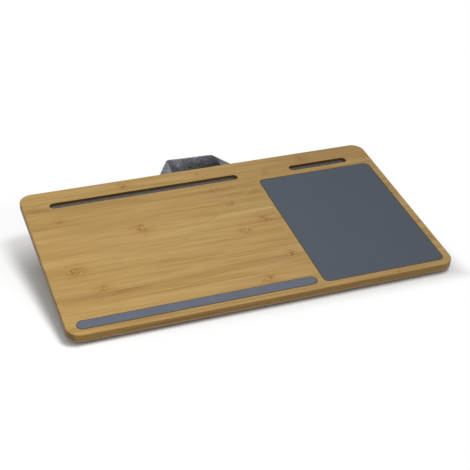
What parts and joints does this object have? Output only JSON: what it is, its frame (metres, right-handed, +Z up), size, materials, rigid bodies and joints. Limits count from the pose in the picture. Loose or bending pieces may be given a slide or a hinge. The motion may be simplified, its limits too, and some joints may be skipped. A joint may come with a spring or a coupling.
{
  "type": "lap desk",
  "caption": "Lap desk: a thin bamboo board with a mouse pad, grip strip and device slots, on a wedge-shaped bolster cushion, with a fabric carry handle behind.",
  "frame": {"origin": "on the floor, under the middle of the whole object's box", "axes": "+X to the user's right along the board, +Y away from the user, +Z up"},
  "size_m": [0.55, 0.3435, 0.0728],
  "materials": {
    "bamboo": "satin clear lacquer",
    "mouse_pad_face": "fine matt weave",
    "pad_rubber": "matt",
    "grip": "matt",
    "slot_liner": "thin felt",
    "hardboard": "smooth brown hardboard",
    "screw_steel": "zinc plated",
    "marl_fabric": "grey marl weave",
    "lining_fabric": "plain dark weave",
    "bead_bag": "thin unbleached weave",
    "thread": "dark bonded thread",
    "zip_plastic": "moulded coil",
    "zip_metal": "grey die-cast"
  },
  "bodies": {
    "desk": {"backing_board": "hardboard", "backing_screw_01": "screw_steel", "backing_screw_02": "screw_steel", "backing_screw_03": "screw_steel", "backing_screw_04": "screw_steel", "backing_screw_05": "screw_steel", "backing_screw_06": "screw_steel", "backing_screw_07": "screw_steel", "backing_screw_08": "screw_steel", "backing_screw_09": "screw_steel", "backing_screw_10": "screw_steel", "backing_screw_11": "screw_steel", "backing_screw_12": "screw_steel", "backing_screw_13": "screw_steel", "backing_screw_14": "screw_steel", "backing_screw_15": "screw_steel", "bamboo_board": "bamboo", "bolster_baffle": "lining_fabric", "cover_base_panel": "marl_fabric", "cover_piping": "marl_fabric", "cover_side_band": "marl_fabric", "cover_top_panel": "marl_fabric", "device_slot_liner": "slot_liner", "front_bead_bag": "bead_bag", "grip_strip": "grip", "handle_bar_tack_left_back": "thread", "handle_bar_tack_left_front": "thread", "handle_bar_tack_right_back": "thread", "handle_bar_tack_right_front": "thread", "handle_tab_left": "marl_fabric", "handle_tab_right": "marl_fabric", "mouse_pad": "mouse_pad_face", "mouse_pad_backing": "pad_rubber", "phone_slot_liner": "slot_liner", "rear_bead_bag": "bead_bag", "zip_chain": "zip_plastic", "zip_stop_left": "zip_metal", "zip_stop_right": "zip_metal", "zip_tape_lower": "lining_fabric", "zip_tape_upper": "lining_fabric"},
    "handle": {"handle_strap": "marl_fabric"},
    "slider": {"zip_slider": "zip_metal"},
    "pull": {"zip_pull": "zip_metal"}
  },
  "joints": [
    {"name": "handle_swing", "type": "hinge", "parent": "desk", "child": "handle", "pos_m": [0, 0.10861, 0.04192], "axis": [1, 0, 0], "range_deg": [-41, 0]},
    {"name": "zip_slide", "type": "slide", "parent": "desk", "child": "slider", "axis": [1, 0, 0], "range_m": [-0.326, 0]},
    {"name": "zip_pull_swing", "type": "hinge", "parent": "slider", "child": "pull", "pos_m": [0.1632, 0.11334, 0.02913], "axis": [1, 0, 0], "range_deg": [0, 150]}
  ]
}
